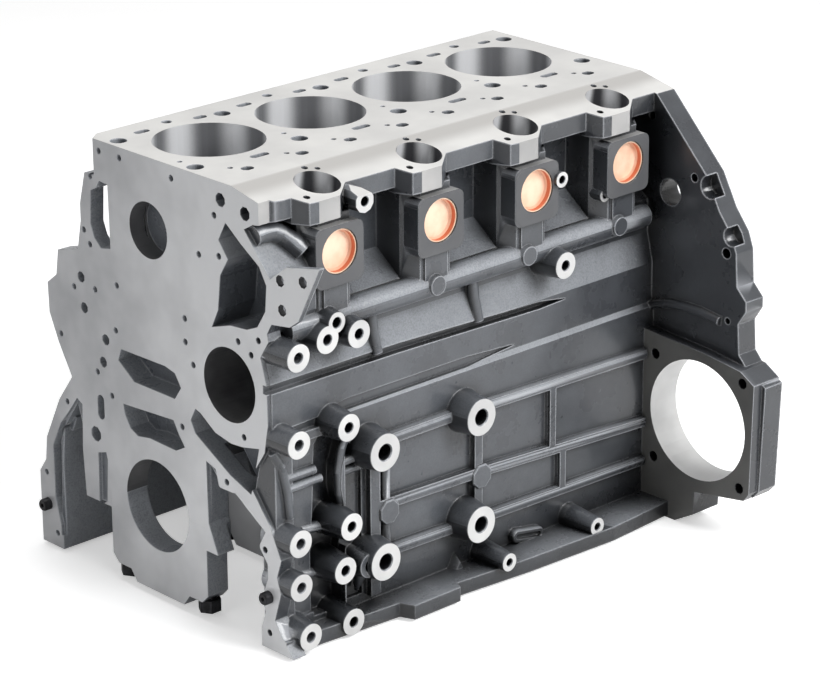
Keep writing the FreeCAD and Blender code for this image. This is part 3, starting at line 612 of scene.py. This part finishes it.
# Hollows as outlines in a view, with their mouth and floor: two grooves under the flank's steps,
# the deep recess behind the front column of bosses, the back of the ear, two slots of the front
# face and the two drawn in corners of the deck over it
deckTrim = {"side": -149.6, "end": 12, "foot": 294, "mouth": 345}
grooves = [
    ("side", [(-3, 160.5), (155, 160), (332, 154.5), (368, 149), (332, 147.5), (155, 151.5),
              (-3, 152.5)], -172, -150.5),
    ("side", [(22, 116), (57, 117), (71, 122), (90, 125), (239, 125), (302, 121), (239, 115.5),
              (90, 115), (75, 113), (57, 109), (22, 109)], -172, -154.5),
    ("side", [(46, -70), (79, -72), (78, -20), (84, 8), (79, 24), (75, 46), (76, 66), (88, 98),
              (62, 104), (52, 92), (50, 40), (46, -10)], -172, -146.5),
    ("front", [(-167, 300), (-240, 300), (-240, 213), (-167, 213)], 20, 6),
    ("front", [(85, 27), (73, 31), (71, 24), (74, -19), (86, -26)], -5, 4),
    ("front", stadium((78, 74), 12, 5, 90), -5, 8),
    ("top", [(-5, deckTrim["side"]), (deckTrim["end"], deckTrim["side"]), (15, -153.4),
             (27, -155.3), (27, -160), (-5, -160)], deckTrim["mouth"], deckTrim["foot"]),
    ("top", [(-5, 74), (0, 75), (10, 83), (22, 88.5), (22, 96), (-5, 96)], deckTrim["mouth"], 297),
]


def octagon(x, z, radius):
    turn = np.radians(22.5 + 45 * np.arange(8))
    return np.stack([x + radius * np.cos(turn), z + radius * np.sin(turn)], axis=1)


def padCorners(x):
    # the four corners of a plug pad, rounded where the pad under them is cut off straight
    half, radius, reach = (padCorner[key] for key in ("half", "radius", "reach"))
    turn = np.linspace(0, math.pi / 2, 7)
    arc = half - radius + radius * np.stack([np.cos(turn), np.sin(turn)], axis=1)
    outline = np.concatenate([[(half - reach, half - reach), (half, half - reach)], arc,
                              [(half - reach, half)]])
    return [slab("side", outline * signs + (x, padCorner["height"]),
                 [(0, padCorner["root"]), (0, padCorner["face"])])
            for signs in ((1, 1), (1, -1), (-1, 1), (-1, -1))]


def flankRelief():
    solids = [tube(path, radius) for path, radius in ribs]
    solids += stumps(knobs)
    solids += [slab("side", octagon(x, z, knots["radius"]),
                    [(0, flankRoot), (0, knots["face"] + knots["edge"]),
                     (knots["edge"], knots["face"])])
               for x, z in knots["spots"]]
    solids += [corner for x in boreX for corner in padCorners(x)]
    solids.append(slab("side", gusset["outline"], gusset["levels"]))
    solids.append(slab("front", wallStrip["outline"], wallStrip["levels"]))
    oval = stadium(ovalPad["spot"], ovalPad["half"], ovalPad["radius"], ovalPad["tilt"])
    solids.append(slab("side", oval, [(0, flankRoot), (0, ovalPad["face"] + ovalPad["edge"]),
                                      (ovalPad["edge"], ovalPad["face"])]))
    return solids


def blockCasting():
    piece = mergedCopy("cylinder_block", "blockCasting")
    combine(piece, [slab(view, outline, [(0, mouth), (0, floor)])
                    for view, outline, mouth, floor in grooves], "DIFFERENCE")
    cast = [solid for kind in bosses.values() if "root" in kind for solid in stumps(kind)]
    combine(piece, cast + flankRelief(), "UNION")
    print("bosses joined", len(piece.data.polygons))
    inner = stadium(ovalPad["spot"], ovalPad["innerHalf"], ovalPad["innerRadius"], ovalPad["tilt"])
    pocket = slab("side", inner, [(0, ovalPad["innerMouth"]), (0, ovalPad["innerFloor"])])
    combine(piece, holeSolids() + [pocket], "DIFFERENCE")
    print("holes cut", len(piece.data.polygons))
    return piece


# How far a face may lie from the place of a cut, and how square to it, to be painted as that cut
painting = {
    "square": 0.95, "across": 0.1, "slanted": 0.4, "face": 0.05, "level": 0.3, "rough": 0.4,
    "padTop": 0.5, "wall": 0.8, "slantedWall": 0.9, "stumpInner": 1, "stumpOuter": 4.4,
    "stumpProud": 0.5, "stumpDepth": 34, "trimReach": 0.2, "padSide": -150, "broad": 1400,
    "planeStep": 5, "sharp": 12.5, "turnedSharp": 40,
}


def paintBlock(piece, values):
    # cut faces are known by where they lie and the way they face; planes with much area stay flat
    mesh = piece.data
    count = len(mesh.polygons)
    centre = np.empty(count * 3)
    normal = np.empty(count * 3)
    area = np.empty(count)
    mesh.polygons.foreach_get("center", centre)
    mesh.polygons.foreach_get("normal", normal)
    mesh.polygons.foreach_get("area", area)
    x, y, z = (centre.reshape(-1, 3) / mm).T
    nx, ny, nz = normal.reshape(-1, 3).T
    square, level = values["square"], values["level"]
    lean = math.tan(math.radians(block["pumpTilt"]))
    nearest = boreX[np.argmin(np.abs(x[:, None] - boreX), axis=1)]
    slot = np.zeros(count, int)

    def paint(kind, where):
        slot[where] = slotOf[kind]

    def boreWallAt(distance, radius, along):
        return (np.abs(distance - radius) < values["wall"]) & (np.abs(along) < values["across"])

    seat = block["deck"] - np.maximum(0, block["seatStart"] - y) * lean
    paint("deck", (nz > square) & (np.abs(z - seat) < values["rough"]))
    paint("face", (nx < -square) & (x < values["face"]))
    paint("flange", (nx < -square) & (np.abs(x - block["flangeFace"]) < level)
          & (y < block["flangeSide"]))
    paint("face", (nx > square) & (x > block["length"] - level))
    paint("face", (nz < -square) & (z < block["rail"] + values["rough"]))
    for kind in bosses.values():
        for x0, z0 in kind["spots"]:
            if "rough" in kind:
                continue
            away = np.hypot(x - x0, z - z0)
            # the sides of the boss stumps take the darker skin, as painted shade
            paint("stump", (np.abs(ny) < values["slanted"]) & (slot == 0)
                  & (away > kind["radius"] - values["stumpInner"])
                  & (away < kind["radius"] + values["stumpOuter"])
                  & (y > kind["face"] - values["stumpProud"])
                  & (y < kind["face"] + values["stumpDepth"]))
            paint("boss", (ny < -square) & (np.abs(y - kind["face"]) < level)
                  & (away < kind["radius"]))
    paint("pad", (ny < -square) & (np.abs(y - block["plugFace"]) < level))
    paint("column", (ny < -square) & (np.abs(y - block["towerFace"]) < level)
          & (z > block["towerFoot"]) & (x - nearest > block["columnStart"])
          & (x - nearest < block["columnEnd"]))
    paint("column", (ny < -square) & (np.abs(y - deckTrim["side"]) < level)
          & (x < deckTrim["end"] + values["trimReach"]) & (z > deckTrim["foot"]))
    # the tops of the plug pads take the bright column finish as a painted highlight
    padTop = padCorner["height"] + padCorner["half"]
    paint("column", (nz > square) & (np.abs(z - padTop) < values["padTop"])
          & (y < values["padSide"]))
    paint("bore", boreWallAt(np.hypot(x - nearest, y), block["boreRadius"], nz)
          & (z > block["boreFoot"]))
    shift = (y - block["camSide"]) + (z - block["camHeight"]) * lean
    pump = np.abs(np.hypot(x - nearest, shift) - block["pumpRadius"])
    paint("pump", (pump < values["slantedWall"]) & (z > block["pumpFoot"])
          & (np.abs(nz) < values["slanted"]))
    paint("hole", boreWallAt(np.hypot(y, z), block["crankRadius"], nx))
    cam = np.hypot(y - block["camSide"], z - block["camHeight"])
    paint("hole", boreWallAt(cam, block["camRadius"], nx))
    accessory = np.hypot(y - block["accessorySide"], z - block["accessoryHeight"])
    accessoryWall = boreWallAt(accessory, block["accessoryRadius"], nx)
    paint("boss", accessoryWall)
    coolant = np.hypot(y, z - block["coolantHeight"])
    paint("hole", boreWallAt(coolant, block["coolantRadius"], nx) & (x < block["coolantDepth"]))
    # the walls of the ear's holes take black steel as painted shade
    for y0, z0 in earHoles["spots"]:
        paint("ear", (np.hypot(y - y0, z - z0) < earHoles["reach"]) & (np.abs(nx) < level)
              & (x < earHoles["depth"]))
    for material in blockMaterials.values():
        mesh.materials.append(material)
    mesh.polygons.foreach_set("material_index", slot)
    mesh.set_sharp_from_angle(angle=math.radians(values["sharp"]))
    offset = (x * nx + y * ny + z * nz) / values["planeStep"]
    planes = np.round(np.stack([nx, ny, nz, offset], axis=1), 2)
    plane = np.unique(planes, axis=0, return_inverse=True)[1].ravel()
    broad = np.bincount(plane, weights=area)[plane] > values["broad"] * mm * mm
    soft = [slotOf[kind] for kind in ("cast", "bore", "hole", "pump", "stump")]
    mesh.polygons.foreach_set("use_smooth", (np.isin(slot, soft) & ~broad) | accessoryWall)


def finishTurned(piece, material):
    piece.data.materials.append(material)
    piece.data.polygons.foreach_set("use_smooth", np.ones(len(piece.data.polygons), bool))
    piece.data.set_sharp_from_angle(angle=math.radians(painting["turnedSharp"]))


casting = blockCasting()
paintBlock(casting, painting)
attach(casting, "root")
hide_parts("cylinder_block")
print("block finished")

# Core plugs: a drawn cup with a rolled rim and a flat floor, by radius and depth from the middle of
# the back over the rim to the middle of the floor
plug = {"steps": 64, "profile": [
    (0.3, -161.5), (19.3, -161.5), (20.5, -162.7), (20.5, -169.8), (20, -170.5), (19, -170.5),
    (18.7, -169.9), (18.7, -166), (17.1, -164), (0.3, -164)]}

plugs = meshObject("corePlugs", [turned("side", (x, block["plugHeight"]), plug["profile"],
                                        plug["steps"]) for x in boreX])
finishTurned(plugs, copper)
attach(plugs, "root")
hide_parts("core_plugs")

# Dowels: turned pins with a chamfer and a small centre hole, by radius and depth from the bottom of
# that hole to the back
dowel = {"spots": [(165, -49), (-153, -39)], "steps": 32, "profile": [
    (0.2, -4), (2, -4.6), (2, -7.6), (2.3, -8), (4.8, -8), (5.9, -6.6), (5.9, 14), (0.2, 14)]}

dowels = meshObject("frontDowels", [turned("front", spot, dowel["profile"], dowel["steps"])
                                    for spot in dowel["spots"]])
finishTurned(dowels, blackSteel)
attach(dowels, "root")
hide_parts("front_dowels")

# The caps keep their solids, with their two flat faces cut, and the bolts are blackened
for name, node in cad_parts.items():
    if name.startswith("main_bearing_cap"):
        for index in range(len(node.material_slots)):
            node.material_slots[index].material = castIron
        node.data.materials.append(faceCut)
        facing = np.empty(len(node.data.polygons) * 3)
        node.data.polygons.foreach_get("normal", facing)
        slots = np.where(np.abs(facing.reshape(-1, 3)[:, 0]) > painting["square"], 1, 0)
        node.data.polygons.foreach_set("material_index", slots)
    if name == "main_cap_bolts":
        for index in range(len(node.material_slots)):
            node.material_slots[index].material = blackSteel
print("plugs, dowels and caps finished")

# Floor, light and camera
studio = {
    "floor": -0.0935, "halfWidth": 30, "paper": (0.93, 0.93, 0.93, 1), "paperRoughness": 0.9,
    "paperSheen": 0.1, "glow": 0.45, "white": (1, 1, 1, 1), "worldLight": 0.22, "mirrored": 0.5,
    "aim": (0.25, -0.05, 0.12),
    "lamps": {"key": (84, 1.5, (0.9, -2.3, 1.9)), "fill": (14, 1.6, (-2.4, -0.2, 1.0)),
              "top": (26, 1.2, (0.2, 0.3, 2.6))},
}


def floorSheet():
    # a pale square that shows white to the camera outside the object's shadow
    half, level = studio["halfWidth"], studio["floor"]
    corners = [(-half, -half, level), (half, -half, level), (half, half, level),
               (-half, half, level)]
    mesh = bpy.data.meshes.new("floor")
    mesh.from_pydata(corners, [], [(0, 1, 2, 3)])
    sheet = bpy.data.objects.new("floor", mesh)
    bpy.context.scene.collection.objects.link(sheet)
    material, shader, spot = newMaterial("floorPaper")
    seen = spot.node("ShaderNodeLightPath", {}, {}, "Is Camera Ray")
    wire(shader, Base_Color=studio["paper"], Roughness=studio["paperRoughness"],
         Specular_IOR_Level=studio["paperSheen"], Emission_Color=studio["white"],
         Emission_Strength=seen * studio["glow"])
    mesh.materials.append(material)


def worldLight():
    # white to the camera and through openings, and dimmer as a light and in reflections
    world = bpy.data.worlds.new("studio")
    bpy.context.scene.world = world
    world.use_nodes = True
    tree = world.node_tree
    path = tree.nodes.new("ShaderNodeLightPath")
    direct, glossy, through = (Field(tree, path.outputs[f"Is {kind} Ray"])
                               for kind in ("Camera", "Glossy", "Transmission"))
    seen = direct.larger(glossy * studio["mirrored"]).larger(through)
    strength = studio["worldLight"] + seen * (1 - studio["worldLight"])
    background = tree.nodes["Background"]
    background.inputs["Color"].default_value = studio["white"]
    tree.links.new(strength.socket, background.inputs["Strength"])


def areaLamp(name, power, size, spot, target):
    lamp = bpy.data.lights.new(name, "AREA")
    lamp.energy = power
    lamp.size = size
    item = bpy.data.objects.new(name, lamp)
    bpy.context.scene.collection.objects.link(item)
    item.location = spot
    heading = np.array(target) - np.array(spot)
    yaw = math.atan2(heading[1], heading[0]) - math.pi / 2
    pitch = math.atan2(math.hypot(heading[0], heading[1]), -heading[2])
    item.rotation_euler = (pitch, 0, yaw)


camera = {"azimuth": -43.154, "elevation": 20.805, "roll": -0.276, "distance": 2.9309,
          "aim": (0.072, 0, 0.332), "shiftRight": -0.17802, "shiftUp": 0.18248,
          "focalPixels": 3309.8, "imageWidth": 820, "sensor": 36, "far": 100}


def photoCamera():
    # the eye lies back along the view from the aim point, moved in the image plane
    turn, lift, roll = (math.radians(camera[key]) for key in ("azimuth", "elevation", "roll"))
    back = np.array([math.sin(turn) * math.cos(lift), -math.cos(turn) * math.cos(lift),
                     math.sin(lift)])
    level = np.array([math.cos(turn), math.sin(turn), 0])
    upright = np.cross(back, level)
    right = math.cos(roll) * level + math.sin(roll) * upright
    up = math.cos(roll) * upright - math.sin(roll) * level
    eye = (np.array(camera["aim"]) + camera["distance"] * back
           - camera["shiftRight"] * right - camera["shiftUp"] * up)
    lens = bpy.data.cameras.new("photoCamera")
    lens.sensor_width = camera["sensor"]
    lens.lens = camera["focalPixels"] * camera["sensor"] / camera["imageWidth"]
    lens.clip_end = camera["far"]
    item = bpy.data.objects.new("photoCamera", lens)
    bpy.context.scene.collection.objects.link(item)
    matrix = np.eye(4)
    matrix[:3, :4] = np.stack([right, up, back, eye], axis=1)
    item.matrix_world = Matrix(matrix.tolist())
    bpy.context.scene.camera = item


floorSheet()
worldLight()
for name, (power, size, spot) in studio["lamps"].items():
    areaLamp(name, power, size, spot, studio["aim"])
photoCamera()
bpy.context.scene.view_settings.view_transform = "Standard"
print("studio ready")
